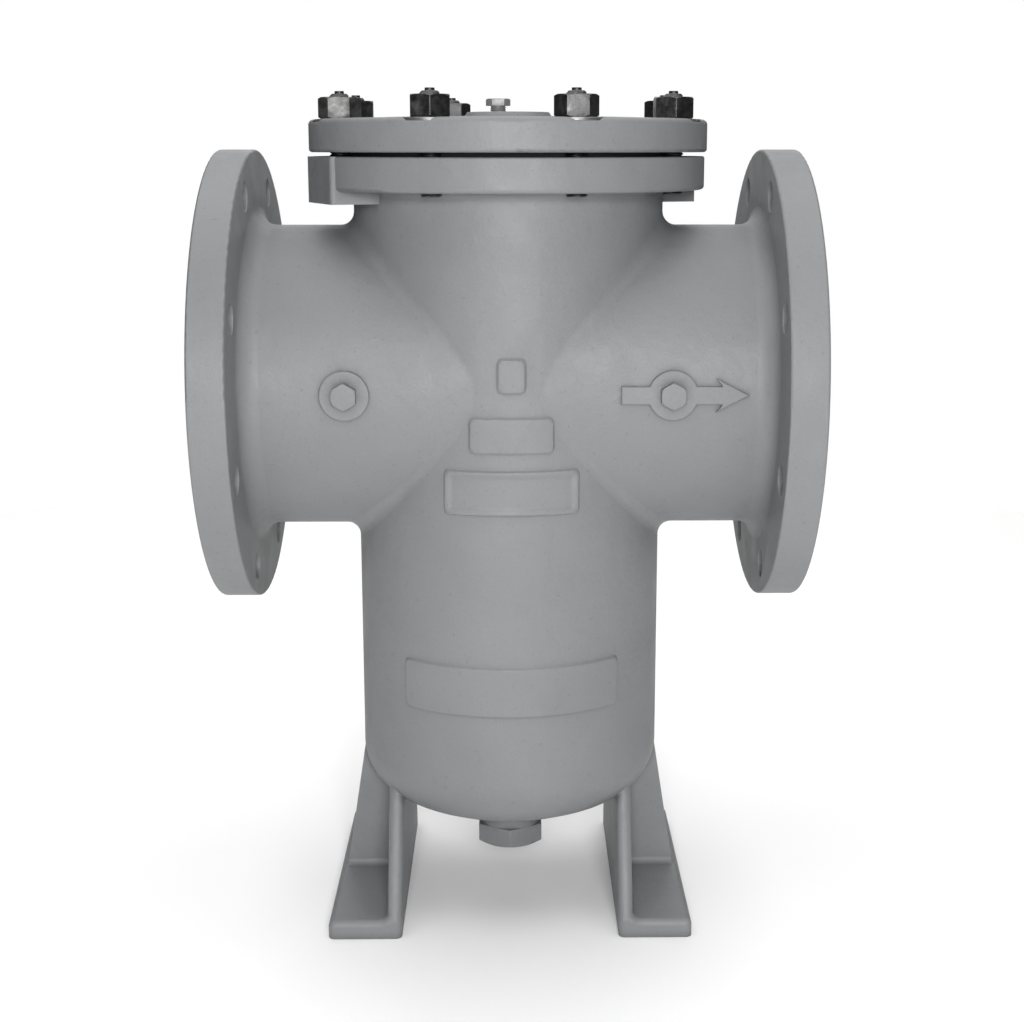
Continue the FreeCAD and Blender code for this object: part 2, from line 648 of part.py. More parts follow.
def add_hexagon(body, flats, height, first_corner, both_ends):
    """A hexagonal block on the body's XY plane, with its corners turned off at 30 degrees. The
    first corner's direction is in degrees from the body's X axis."""
    corner = f"{flats} / sqrt(3)"
    outline = add_sketch(body, "hexagon_outline", "XY_Plane")
    directions = [f"({first_corner} + {60 * side})" for side in range(6)]
    add_outline(outline, [(f"{corner} * cos({direction})", f"{corner} * sin({direction})")
                          for direction in directions])
    extrude(body, "hexagon", outline, height)
    reach = f"{corner} + 1"
    drop = f"({reach} - {flats} / 2) * tan(30)"
    section = add_sketch(body, "corner_section", "XZ_Plane")
    add_outline(section, [(f"{flats} / 2", height), (reach, height), (reach, f"{height} - {drop}")])
    if both_ends:
        add_outline(section, [(f"{flats} / 2", "0"), (reach, "0"), (reach, drop)])
    revolve(body, "turned_corners", section, kind="Groove")


def make_washer(number):
    """A flat washer round a stud, lying in its spot face."""
    washer = add_body(f"cover_washer_{number}", "pipe_height + cover_high - spot_face_depth")
    section = add_sketch(washer, f"washer_section_{number}", "XZ_Plane")
    add_outline(section, [
        ("washer_hole", "0"),
        ("washer_radius - washer_edge", "0"),
        ("washer_radius", "washer_edge"),
        ("washer_radius", "washer_depth - washer_edge"),
        ("washer_radius - washer_edge", "washer_depth"),
        ("washer_hole", "washer_depth"),
    ])
    revolve(washer, f"washer_turning_{number}", section)
    place_on_bolt_ring(washer, number)
    return washer


def make_nut(number):
    """A heavy hexagon nut on a stud, sitting on its washer."""
    nut = add_body(f"cover_nut_{number}", "pipe_height + cover_high - spot_face_depth + washer_depth")
    first_corner = "nut_turn" if number % 2 else "nut_turn + 30"
    add_hexagon(nut, "nut_flats", "nut_height", first_corner, both_ends=True)
    hole = add_sketch(nut, "nut_hole_outline", "XY_Plane", "nut_height")
    add_circle(hole, "0", "0", "stud_radius + thread_clearance")
    cut(nut, "nut_hole", hole, "nut_height + 1")
    place_on_bolt_ring(nut, number)
    return nut


def make_plug(name, size, height, tilt, first_corner):
    """A hexagon-headed pipe plug. Its zero is the underside of the head, and the tilt about X turns
    the head from up to forwards or down."""
    plug = add_body(name, height)
    add_hexagon(plug, f"{size}_flats", f"{size}_head", first_corner, both_ends=False)
    shank = add_sketch(plug, f"{name}_shank_outline", "XY_Plane")
    add_circle(shank, "0", "0", f"{size}_radius")
    extrude(plug, f"{name}_shank", shank, f"{size}_reach", backwards=True)
    plug.Placement.Rotation = FreeCAD.Rotation(FreeCAD.Vector(1, 0, 0), tilt)
    return plug


def make_plugs():
    """The vent plug, the two gauge plugs and the drain plug."""
    vent = make_plug("vent_plug", "vent", "pipe_height + vent_seat", 0, first_corner=0)
    vent.setExpression("Placement.Base.x", bound("vent_offset"))
    drain = make_plug("drain_plug", "drain", "pipe_height + drain_boss_low", 180, first_corner=30)
    plugs = [vent, drain]
    for name, across in (("inlet_gauge_plug", "-port_reach"), ("outlet_gauge_plug", "port_reach")):
        gauge = make_plug(name, "gauge", "pipe_height", 90, first_corner=30)
        gauge.setExpression("Placement.Base.x", bound(across))
        gauge.setExpression("Placement.Base.y", bound("-neck_radius - port_relief"))
        plugs.append(gauge)
    return plugs


# ---- the basket --------------------------------------------------------------------------------

def cut_above(body, level):
    """Trim a piece to the basket's 45 degree slope, at the level that the slope has over the centre."""
    above = add_sketch(body, f"{body.Name}_slope", "XZ_Plane")
    add_outline(above, [
        ("-half_length", f"-half_length + {level}"),
        ("half_length", f"half_length + {level}"),
        ("half_length", "2 * half_length"),
        ("-half_length", "2 * half_length"),
    ])
    cut(body, f"{body.Name}_trim", above, "3 * bore_radius", both_ways=True)


def add_tube(body, outer, inner, low, length):
    """An upright tube on the body's axis."""
    ring = add_sketch(body, f"{body.Name}_ring", "XY_Plane", low)
    add_circle(ring, "0", "0", outer)
    add_circle(ring, "0", "0", inner)
    extrude(body, f"{body.Name}_tube", ring, length)


def make_rim():
    """The basket's inclined rim, which rests on the ledge of the body."""
    rim = add_body("basket_rim")
    add_tube(rim, "rim_outer", "rim_inner", "-2 * rim_outer", "4 * rim_outer")
    cut_above(rim, RIM_HIGH)
    below = add_sketch(rim, "basket_rim_underside", "XZ_Plane")
    add_outline(below, [
        ("-half_length", f"-half_length + {RIM_LOW}"),
        ("half_length", f"half_length + {RIM_LOW}"),
        ("half_length", "-2 * half_length"),
        ("-half_length", "-2 * half_length"),
    ])
    cut(rim, "basket_rim_lower_trim", below, "3 * bore_radius", both_ways=True)
    return rim


def make_lining(name, outer, depth, low):
    """An upright sheet cylinder whose top follows the rim's slope: the shell or the mesh in it."""
    lining = add_body(name)
    add_tube(lining, outer, f"{outer} - {depth}", low, f"rim_outer + {RIM_LOW} - ({low})")
    cut_above(lining, RIM_LOW)
    return lining


def make_disc(name, radius, low, depth):
    """A flat round plate of the basket's floor."""
    disc = add_body(name)
    outline = add_sketch(disc, f"{name}_outline", "XY_Plane", low)
    add_circle(outline, "0", "0", radius)
    extrude(disc, f"{name}_plate", outline, depth)
    return disc


def make_bottom_band():
    """The band round the shell's lower end."""
    band = add_body("basket_bottom_band")
    add_tube(band, "band_outer", "band_inner", "basket_floor - floor_depth", "band_height")
    return band


def make_seam_strip():
    """The strip over the shell's rolled seam, on the inlet side."""
    strip = add_body("basket_seam_strip")
    section = add_sketch(strip, "seam_section", "XZ_Plane")
    low = "basket_floor - floor_depth + band_height + 1"
    high = f"{RIM_LOW} - band_inner - seam_depth - 1"
    add_outline(section, [
        ("-band_inner - seam_depth", low),
        ("-band_inner", low),
        ("-band_inner", high),
        ("-band_inner - seam_depth", high),
    ])
    sweep = feature(strip, "Revolution", "seam_sweep", section)
    sweep.ReferenceAxis = (section, ["V_Axis"])
    sweep.Midplane = True
    sweep.setExpression("Angle", bound("seam_sweep"))
    document.recompute()
    return strip


def make_ear(name, front):
    """A handle ear, standing on the rim, with the hole that a handle pin turns in."""
    ear = add_body(name)
    offset = "ear_face" if front else "-ear_face"
    outline = add_sketch(ear, f"{name}_outline", "XZ_Plane", offset)
    add_outline(outline, [
        ("-ear_half", f"-ear_half + {RIM_HIGH}"),
        ("ear_half", f"ear_half + {RIM_HIGH}"),
        ("ear_half", "pivot_height", "ear_half", "left"),
        ("0", "pivot_height + ear_half", "ear_half", "left"),
        ("-ear_half", "pivot_height"),
    ])
    add_circle(outline, "0", "pivot_height", "handle_wire + thread_clearance")
    extrude(ear, f"{name}_plate", outline, "ear_depth", backwards=not front)
    return ear


def make_handle():
    """The bail: a bent rod whose two pins turn in the ears. It is drawn upright and lies folded on
    the low side of the rim."""
    handle = add_body("basket_handle", "pipe_height + pivot_height")
    route = add_sketch(handle, "handle_route", "YZ_Plane")
    add_outline(route, [
        ("-handle_pin", "0"),
        ("-handle_half - handle_bend", "0", "handle_bend", "left"),
        ("-handle_half", "handle_bend"),
        ("-handle_half", "handle_leg", "handle_half", "right"),
        ("0", "handle_leg + handle_half", "handle_half", "right"),
        ("handle_half", "handle_leg"),
        ("handle_half", "handle_bend", "handle_bend", "left"),
        ("handle_half + handle_bend", "0"),
        ("handle_pin", "0"),
    ], closed=False)
    section = add_sketch(handle, "handle_section", "XZ_Plane", "handle_pin")
    add_circle(section, "0", "0", "handle_wire")
    rod = feature(handle, "AdditivePipe", "handle_rod", section)
    rod.Spine = (route, [])
    document.recompute()
    handle.Placement.Rotation = FreeCAD.Rotation(FreeCAD.Vector(0, -1, 0), 90)
    handle.setExpression("Placement.Rotation.Angle", bound("90 + handle_fold"))
    return handle


def make_basket():
    """Every piece of the basket."""
    return [
        make_rim(),
        make_lining("basket_shell", "shell_radius", "sheet", "basket_floor"),
        make_lining("basket_mesh", "mesh_radius", "mesh_depth", "basket_floor + mesh_depth"),
        make_disc("basket_bottom_plate", "shell_radius", "basket_floor - floor_depth", "floor_depth"),
        make_disc("basket_bottom_mesh", "mesh_radius", "basket_floor", "mesh_depth"),
        make_bottom_band(),
        make_seam_strip(),
        make_ear("front_handle_ear", front=True),
        make_ear("rear_handle_ear", front=False),
        make_handle(),
    ]


# ---- build, check and write --------------------------------------------------------------------

def check_document():
    """Stop if any object failed to build."""
    for thing in document.Objects:
        if "Invalid" in thing.State or "Error" in thing.State:
            raise RuntimeError(f"{thing.Name} is {thing.State}")


def write_pieces(pieces):
    """Write each piece's solid to a file named after its label."""
    os.makedirs("parts", exist_ok=True)
    for piece in pieces:
        if piece.Shape.isNull() or not piece.Shape.isValid() or len(piece.Shape.Solids) != 1:
            raise RuntimeError(f"{piece.Label} is not one valid solid")
    for piece in pieces:
        piece.Shape.exportStep(f"parts/{piece.Label}.step")
        print(f"{piece.Label}: {piece.Shape.Volume / 1000:.1f} cubic centimetres")


numbers = range(1, int(value("bolt_count")) + 1)
pieces = [make_body(), make_cover(), make_gasket(), *make_plugs(), *make_basket()]
pieces += [make_stud(number) for number in numbers]
pieces += [make_washer(number) for number in numbers]
pieces += [make_nut(number) for number in numbers]
document.recompute()
check_document()
write_pieces(pieces)
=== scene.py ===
"""The looks of a cast basket strainer, built around its CAD frame. Metres, +Z up, -Y is the front."""

import json
import math

import bmesh
import bpy
from mathutils import Matrix, Vector
from mathutils.geometry import delaunay_2d_cdt


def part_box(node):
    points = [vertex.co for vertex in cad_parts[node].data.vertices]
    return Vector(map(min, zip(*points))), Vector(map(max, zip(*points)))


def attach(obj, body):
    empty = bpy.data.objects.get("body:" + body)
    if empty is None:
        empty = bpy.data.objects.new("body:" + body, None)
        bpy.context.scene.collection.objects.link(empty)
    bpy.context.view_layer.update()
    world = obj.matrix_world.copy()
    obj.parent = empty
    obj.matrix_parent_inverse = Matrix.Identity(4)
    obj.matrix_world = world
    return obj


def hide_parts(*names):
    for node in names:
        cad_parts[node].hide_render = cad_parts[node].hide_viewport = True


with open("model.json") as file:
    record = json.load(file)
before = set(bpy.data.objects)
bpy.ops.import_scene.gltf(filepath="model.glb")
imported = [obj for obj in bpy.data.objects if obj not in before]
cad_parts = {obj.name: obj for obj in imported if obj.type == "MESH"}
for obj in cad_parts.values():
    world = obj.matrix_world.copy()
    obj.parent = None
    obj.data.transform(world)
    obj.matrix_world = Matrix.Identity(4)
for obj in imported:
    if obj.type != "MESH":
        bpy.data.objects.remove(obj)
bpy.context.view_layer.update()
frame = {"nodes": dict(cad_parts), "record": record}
nodes = frame["nodes"]

# ---- places read from the frame ------------------------------------------------------------

FULL_TURN = 2 * math.pi
BODY_LOW, BODY_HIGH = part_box("body")
PIPE_HEIGHT = frame["record"]["mounts"][0]["pos_m"][2]
STUDS = [name for name in sorted(nodes) if name.startswith("cover_stud")]
WASHERS = [name for name in sorted(nodes) if name.startswith("cover_washer")]
NUTS = [name for name in sorted(nodes) if name.startswith("cover_nut")]
BASKET_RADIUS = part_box("basket_shell")[1].x
SHEET = 0.0015
BARREL_RADIUS = 0.1175
RAISED_FACE_HEIGHT = 0.0016
SPOT_FACE_RADIUS = 0.0205


def middle(node):
    """The centre of a node's box."""
    low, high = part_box(node)
    return (low + high) / 2


FIRST_STUD = middle(STUDS[0])
STUD_RING = FIRST_STUD.xy.length
STUD_ANGLE = math.atan2(FIRST_STUD.y, FIRST_STUD.x)
STUD_STEP = FULL_TURN / len(STUDS)
NUT_CENTRES = [middle(nut) for nut in NUTS]
WASHER_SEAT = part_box(WASHERS[0])[0].z

# ---- materials ----------------------------------------------------------------------------


class Finish:
    """One material, with a short call for each kind of node that it needs."""

    def __init__(self, name, metallic=0.0, specular=0.5):
        self.material = bpy.data.materials.new(name)
        self.material.use_nodes = True
        self.tree = self.material.node_tree
        self.shader = self.tree.nodes["Principled BSDF"]
        self.shader.inputs["Metallic"].default_value = metallic
        self.shader.inputs["Specular IOR Level"].default_value = specular
        self.place = self.node("ShaderNodeTexCoord").outputs["Object"]
        self.normal = None

    def node(self, kind, **settings):
        """Adds a node with these settings."""
        made = self.tree.nodes.new(kind)
        for name, value in settings.items():
            setattr(made, name, value)
        return made

    def feed(self, value, socket):
        """Joins an output to a socket, or sets the socket to a plain value."""
        if isinstance(value, bpy.types.NodeSocket):
            self.tree.links.new(value, socket)
        else:
            socket.default_value = value

    def noise(self, scale, detail=2.0, roughness=0.5, stretch=None):
        """Noise whose cells are about 1 / scale metres across."""
        made = self.node("ShaderNodeTexNoise")
        made.inputs["Scale"].default_value = scale
        made.inputs["Detail"].default_value = detail
        made.inputs["Roughness"].default_value = roughness
        self.feed(self.stretched(stretch) if stretch else self.place, made.inputs["Vector"])
        return made.outputs["Fac"]

    def stretched(self, factors):
        """The place, scaled along each axis."""
        made = self.node("ShaderNodeMapping")
        made.inputs["Scale"].default_value = factors
        self.feed(self.place, made.inputs["Vector"])
        return made.outputs["Vector"]

    def spread(self, value, low, high, to_low=0.0, to_high=1.0):
        """value from low to high, mapped to to_low to to_high and held there."""
        made = self.node("ShaderNodeMapRange")
        for socket, amount in zip(made.inputs, (value, low, high, to_low, to_high)):
            self.feed(amount, socket)
        return made.outputs["Result"]

    def math(self, operation, *values):
        """A Math node."""
        made = self.node("ShaderNodeMath", operation=operation)
        for value, socket in zip(values, made.inputs):
            self.feed(value, socket)
        return made.outputs["Value"]

    def mix(self, share, first, second):
        """A colour between first and second."""
        made = self.node("ShaderNodeMix", data_type="RGBA")
        self.feed(share, made.inputs["Factor"])
        self.feed(first, made.inputs[6])
        self.feed(second, made.inputs[7])
        return made.outputs[2]

    def axes(self):
        """The place's X, Y and Z."""
        made = self.node("ShaderNodeSeparateXYZ")
        self.feed(self.place, made.inputs["Vector"])
        return [made.outputs[name] for name in "XYZ"]

    def from_nearest_stud(self):
        """How far the place is from the axis of the nearest cover stud."""
        along, across, _ = self.axes()
        angle = self.math("SUBTRACT", self.math("ARCTAN2", across, along), STUD_ANGLE)
        count = self.math("ROUND", self.math("DIVIDE", angle, STUD_STEP))
        stud_angle = self.math("MULTIPLY_ADD", count, STUD_STEP, STUD_ANGLE)
        squares = []
        for place, direction in ((along, "COSINE"), (across, "SINE")):
            centre = self.math("MULTIPLY", self.math(direction, stud_angle), STUD_RING)
            squares.append(self.math("POWER", self.math("SUBTRACT", place, centre), 2.0))
        return self.math("SQRT", self.math("ADD", *squares))

    def worn_edges(self, radius):
        """1 on outer and inner edges, 0 on open faces. Edges also look rounded from here on."""
        soft = self.node("ShaderNodeBevel", samples=6)
        soft.inputs["Radius"].default_value = radius
        flat = self.node("ShaderNodeNewGeometry")
        facing = self.node("ShaderNodeVectorMath", operation="DOT_PRODUCT")
        self.feed(soft.outputs["Normal"], facing.inputs[0])
        self.feed(flat.outputs["Normal"], facing.inputs[1])
        self.normal = soft.outputs["Normal"]
        return self.spread(facing.outputs["Value"], 0.995, 0.90)

    def painted_crease_shade(self, distance):
        """Painted shade: 1 deep in corners and creases, where shade falls, 0 in the open."""
        made = self.node("ShaderNodeAmbientOcclusion", samples=6)
        made.inputs["Distance"].default_value = distance
        return self.spread(made.outputs["AO"], 0.95, 0.35)

    def bump(self, height, depth):
        """Adds relief that is depth metres deep, over what is there already."""
        made = self.node("ShaderNodeBump")
        made.inputs["Distance"].default_value = depth
        self.feed(height, made.inputs["Height"])
        if self.normal is not None:
            self.feed(self.normal, made.inputs["Normal"])
        self.normal = made.outputs["Normal"]

    def done(self, colour, roughness):
        """Joins the colour, roughness and relief to the shader."""
        self.feed(colour, self.shader.inputs["Base Color"])
        self.feed(roughness, self.shader.inputs["Roughness"])
        self.feed(self.normal, self.shader.inputs["Normal"])
        return self.material


def grey(level, warmth=0.0):
    """A near-neutral colour. A positive warmth is redder, a negative one bluer."""
    return (level * (1 + warmth), level, level * (1 - warmth), 1.0)


def enamel(name, level, edge_radius=0.0012):
    """Satin grey enamel on a sand casting: mottled, grainy, with shade painted darker into its corners and
    creases, and thin on its edges.
    """
    finish = Finish(name, specular=0.5)
    edges = finish.worn_edges(edge_radius)
    corners = finish.painted_crease_shade(0.008)
    cloud = finish.spread(finish.noise(9, 3), 0.34, 0.66)
    patch = finish.spread(finish.noise(38, 4, 0.6), 0.35, 0.70)
    grain = finish.noise(650, 3, 0.6)
    pits = finish.spread(finish.noise(240, 2, 0.7), 0.64, 0.74)
    colour = finish.mix(cloud, grey(level * 0.94, -0.044), grey(level * 1.05, -0.028))
    colour = finish.mix(finish.math("MULTIPLY", patch, 0.35), colour, grey(level * 1.10, -0.006))
    sand = finish.math("MULTIPLY", finish.spread(grain, 0.3, 0.7), 0.22)
    colour = finish.mix(sand, colour, grey(level * 0.80))
    colour = finish.mix(finish.math("MULTIPLY", pits, 0.35), colour, grey(level * 0.60))
    # Painted shade: deep corners and creases are darkened towards 0.38 of the paint's level.
    colour = finish.mix(finish.math("MULTIPLY", corners, 0.75), colour, grey(level * 0.38, -0.01))
    thin = finish.math("MULTIPLY", edges, finish.spread(finish.noise(170, 3, 0.7), 0.35, 0.62))
    colour = finish.mix(finish.math("MULTIPLY", thin, 0.55), colour, grey(level * 1.75, -0.01))
    finish.bump(finish.noise(26, 2), 0.0012)
    finish.bump(finish.noise(120, 3, 0.55), 0.0004)
    finish.bump(grain, 0.00018)
    roughness = finish.spread(finish.math("ADD", patch, grain), 0.5, 1.5, 0.50, 0.62)
    return finish.done(colour, roughness)


def turned_rings(finish, radial, pitch):
    """Relief of the fine grooves that a lathe or a spot-facer leaves."""
    wave = finish.math("SINE", finish.math("MULTIPLY", radial, FULL_TURN / pitch))
    finish.bump(wave, pitch * 0.10)


def machined_iron(finish):
    """Bare machined metal with fine scratches, over relief that is already there."""
    stain = finish.spread(finish.noise(45, 4, 0.65), 0.38, 0.72)
    scratch = finish.noise(900, 2, 0.6, (1.0, 0.12, 1.0))
    colour = finish.mix(stain, grey(0.66, 0.004), grey(0.50, 0.02))
    finish.bump(scratch, 0.00006)
    return finish.done(colour, finish.spread(stain, 0.0, 1.0, 0.27, 0.42))


def joint_face():
    """Raised pipe joint face: bare, with a grooved finish round the pipe axis."""
    finish = Finish("joint_face", metallic=1.0)
    _, across, up = finish.axes()
    rise = finish.math("SUBTRACT", up, PIPE_HEIGHT)
    square = finish.math("ADD", finish.math("POWER", across, 2.0), finish.math("POWER", rise, 2.0))
    turned_rings(finish, finish.math("SQRT", square), 0.0008)
    return machined_iron(finish)


def spot_face():
    """Bare ring under each washer, with rings round its own stud."""
    finish = Finish("spot_face", metallic=1.0)
    turned_rings(finish, finish.from_nearest_stud(), 0.0007)
    return machined_iron(finish)


def black_oxide(name, wear):
    """Blackened steel that has rubbed bright on its edges and, with more wear, in patches on its faces."""
    finish = Finish(name, metallic=1.0)
    edges = finish.worn_edges(0.0006)
    scuff = finish.noise(210, 4, 0.7)
    patch = finish.spread(finish.noise(75, 3, 0.6), 0.62 - 0.22 * wear, 0.72 - 0.12 * wear)
    bare = finish.math("MULTIPLY", edges, finish.spread(scuff, 0.34, 0.52, 0.0, 0.4 + 0.5 * wear))
    bare = finish.math("MAXIMUM", bare, finish.math("MULTIPLY", patch, 0.25 + 0.6 * wear))
    colour = finish.mix(finish.spread(scuff, 0.35, 0.7), grey(0.048, -0.02), grey(0.092, 0.01))
    colour = finish.mix(finish.math("MULTIPLY", bare, 0.9), colour, grey(0.38 - 0.17 * wear, 0.01))
    finish.bump(finish.noise(160, 3), 0.00035)
    finish.bump(finish.noise(1300, 2, 0.7), 0.00006)
    return finish.done(colour, finish.spread(scuff, 0.3, 0.7, 0.34 + 0.16 * wear, 0.52 + 0.12 * wear))


def zinc(name, metallic, level, roughness):
    """Zinc plating, a little stained and scratched."""
    finish = Finish(name, metallic=metallic)
    edges = finish.worn_edges(0.0004)
    stain = finish.spread(finish.noise(130, 4, 0.6), 0.35, 0.68)
    colour = finish.mix(stain, grey(level), grey(level * 0.78, 0.02))
    colour = finish.mix(finish.math("MULTIPLY", edges, 0.5), colour, grey(level * 1.3))
    finish.bump(finish.noise(700, 3, 0.65), 0.0001)
    return finish.done(colour, finish.spread(stain, 0.0, 1.0, roughness, roughness + 0.14))


def gasket_fibre():
    """Compressed fibre sheet, dark and matt, with its fibres lying flat."""
    finish = Finish("gasket_fibre", specular=0.3)
    fibre = finish.noise(900, 4, 0.7, (1.0, 1.0, 6.0))
    colour = finish.mix(finish.spread(fibre, 0.35, 0.65), grey(0.012), grey(0.045, 0.04))
    finish.bump(fibre, 0.00012)
    return finish.done(colour, 0.82)


def rolled_stainless(name, level, stretch, roughness):
    """Mill-finish stainless with its fine lines along one direction."""
    finish = Finish(name, metallic=1.0)
    edges = finish.worn_edges(0.0003)
    lines = finish.noise(1500, 3, 0.65, stretch)
    cloud = finish.spread(finish.noise(28, 3), 0.35, 0.65)
    colour = finish.mix(cloud, grey(level * 0.90, 0.012), grey(level * 1.05, 0.004))
    colour = finish.mix(finish.math("MULTIPLY", edges, 0.4), colour, grey(0.80))
    finish.bump(lines, 0.00005)
    return finish.done(colour, finish.spread(lines, 0.3, 0.7, roughness - 0.05, roughness + 0.08))


def woven_wire(name, turned):
    """Plain-weave wire cloth: wires over and under each other, round the basket or across its floor, with
    painted shade on the wire that dips under and near-black painted shade in the gaps.
    """
    pitch = 0.0016
    finish = Finish(name, metallic=1.0)
    along, across, up = finish.axes()
    if turned:
        along = finish.math("MULTIPLY", finish.math("ARCTAN2", across, along), BASKET_RADIUS)
        across = up
    warp = finish.math("SINE", finish.math("MULTIPLY", along, math.pi / pitch))
    weft = finish.math("SINE", finish.math("MULTIPLY", across, math.pi / pitch))
    over = finish.spread(finish.math("MULTIPLY", warp, weft), -0.4, 0.4)
    wires = finish.mix(over, grey(1), grey(0))
    height = finish.math("MAXIMUM", finish.math("ABSOLUTE", warp), finish.math("ABSOLUTE", weft))
    painted_gap_shade = finish.spread(height, 0.72, 0.50)
    # Painted shade: the wire that dips under is painted darker than the one on top, and the gaps between
    # wires are painted near-black.
    colour = finish.mix(wires, grey(0.50, 0.012), grey(0.34, 0.012))
    colour = finish.mix(painted_gap_shade, colour, grey(0.015))
    finish.bump(height, 0.0003)
    return finish.done(colour, 0.42)


def pale_floor():
    """Matt near-white studio floor with a trace of unevenness."""
    finish = Finish("pale_floor", specular=0.1)
    cloud = finish.spread(finish.noise(3, 3), 0.3, 0.7)
    finish.bump(finish.noise(300, 2), 0.0001)
    return finish.done(finish.mix(cloud, grey(0.93, 0.003), grey(0.96, 0.001)), 0.9)


CASTING = enamel("casting_enamel", 0.190)
PLUG_ENAMEL = enamel("plug_enamel", 0.185, edge_radius=0.0007)
JOINT_FACE = joint_face()
SPOT_FACE = spot_face()
OXIDE = black_oxide("black_oxide", 0.15)
WORN_OXIDE = black_oxide("worn_oxide", 1.0)
DULL_ZINC = zinc("dull_zinc", 0.25, 0.27, 0.45)
BRIGHT_ZINC = zinc("bright_zinc", 0.9, 0.30, 0.45)
SHEET_STEEL = rolled_stainless("stainless_sheet", 0.60, (1.0, 1.0, 0.04), 0.30)
BAR_STEEL = rolled_stainless("stainless_bar", 0.64, (0.3, 0.3, 1.0), 0.26)
SHELL_CLOTH = woven_wire("woven_wire_wall", turned=True)
FLOOR_CLOTH = woven_wire("woven_wire_floor", turned=False)
FIBRE = gasket_fibre()

NODE_FINISH = {
    "body": CASTING,
    "cover": CASTING,
    "cover_gasket": FIBRE,
    "basket_rim": SHEET_STEEL,
    "basket_bottom_band": SHEET_STEEL,
    "basket_seam_strip": SHEET_STEEL,
    "front_handle_ear": BAR_STEEL,
    "rear_handle_ear": BAR_STEEL,
    "basket_handle": BAR_STEEL,
    "basket_mesh": SHELL_CLOTH,
    "basket_bottom_mesh": FLOOR_CLOTH,
}
NODE_FINISH.update({washer: BRIGHT_ZINC for washer in WASHERS})
MACHINED = 1


def paint_faces(node, finish, is_machined):
    """Gives a second finish to the faces of a CAD node that were machined after painting."""
    mesh = nodes[node].data
    mesh.materials.append(finish)
    for face in mesh.polygons:
        if is_machined(face.center, face.normal):
            face.material_index = MACHINED


def is_joint_face(centre, normal):
    """Is this part of one of the two raised faces, at the ends of the pipe run?"""
    return abs(normal.x) > 0.99 and abs(centre.x) > BODY_HIGH.x - RAISED_FACE_HEIGHT / 2


def is_spot_face(centre, normal):
    """Is this part of the flat floor under a washer, or of the low wall round it?"""
    if normal.z > 0.99 and centre.z > WASHER_SEAT + 0.0005:
        return False
    is_near = min((centre - nut).xy.length for nut in NUT_CENTRES) < SPOT_FACE_RADIUS + 0.0001
    return is_near and centre.z > WASHER_SEAT - 0.0001 and normal.z > -0.01


def finish_cad_nodes():
    """Every CAD node that stays gets its finish."""
    for node, finish in NODE_FINISH.items():
        nodes[node].material_slots[0].material = finish
    paint_faces("body", JOINT_FACE, is_joint_face)
    paint_faces("cover", SPOT_FACE, is_spot_face)


# ---- pieces -------------------------------------------------------------------------------

SHARP_ANGLE = math.radians(38)
BEVEL_ANGLE = math.radians(26)
INCH = 0.0254
THREAD_STEPS = 28
STUD_PITCH = INCH / 11
STUD_POINT_LENGTH = 0.0020
STUD_POINT_RADIUS = 0.0036
SMALL_PLUG_PITCH = 0.00141
DRAIN_PLUG_PITCH = 0.00221
VENT_SHANK_RADIUS = 0.006
GAUGE_SHANK_RADIUS = 0.008
DRAIN_SHANK_RADIUS = 0.0209
HOLE_PITCH = 0.009
HOLE_RADIUS = 0.003
HOLE_SIDES = 12
ROW_RISE = HOLE_PITCH * math.sqrt(3) / 2
PAD_CELL = 0.0015
PAD_SLOPE = 0.0024
PAD_CORNER = 0.005
PAD_DEPTH = 0.0022
PAD_BORDER_SUNK = 0.0002
PAD_BACK_SUNK = 0.001
FRAME_CORNER = 0.003
FRAME_DEPTH = 0.0013
PADS_ASIDE = 0.002


def add_piece(name, shape, material, body, slot, *replaced):
    """Puts a bmesh in the scene as a piece that rides on a body."""
    mesh = bpy.data.meshes.new(name)
    shape.to_mesh(mesh)
    shape.free()
    mesh.materials.append(material)
    mesh.shade_smooth()
    mesh.set_sharp_from_angle(angle=SHARP_ANGLE)
    piece = bpy.data.objects.new(name, mesh)
    bpy.context.scene.collection.objects.link(piece)
    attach(piece, body)
    if replaced:
        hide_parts(*replaced)
    return piece


def copy_of(node):
    """A CAD node's shape with its corners welded."""
    shape = bmesh.new()
    shape.from_mesh(nodes[node].data)
    bmesh.ops.remove_doubles(shape, verts=shape.verts, dist=1e-6)
    return shape


def apply_bevel(piece, width):
    """Rounds a piece's sharp edges."""
    bevel = piece.modifiers.new("edges", "BEVEL")
    bevel.width = width
    bevel.segments = 3
    bevel.angle_limit = BEVEL_ANGLE
    bevel.use_clamp_overlap = True
    apply_modifiers(piece)


def apply_modifiers(piece):
    """Turns a piece's modifiers into plain mesh."""
    graph = bpy.context.evaluated_depsgraph_get()
    made = bpy.data.meshes.new_from_object(piece.evaluated_get(graph))
    piece.modifiers.clear()
    old = piece.data
    piece.data = made
    made.name = piece.name
    bpy.data.meshes.remove(old)
    made.shade_smooth()
    made.set_sharp_from_angle(angle=SHARP_ANGLE)


def cut_off(shape, place, outward):
    """Removes what lies outward of a plane, and leaves the cut open."""
    every = shape.verts[:] + shape.edges[:] + shape.faces[:]
    bmesh.ops.bisect_plane(shape, geom=every, plane_co=place, plane_no=outward, clear_outer=True)


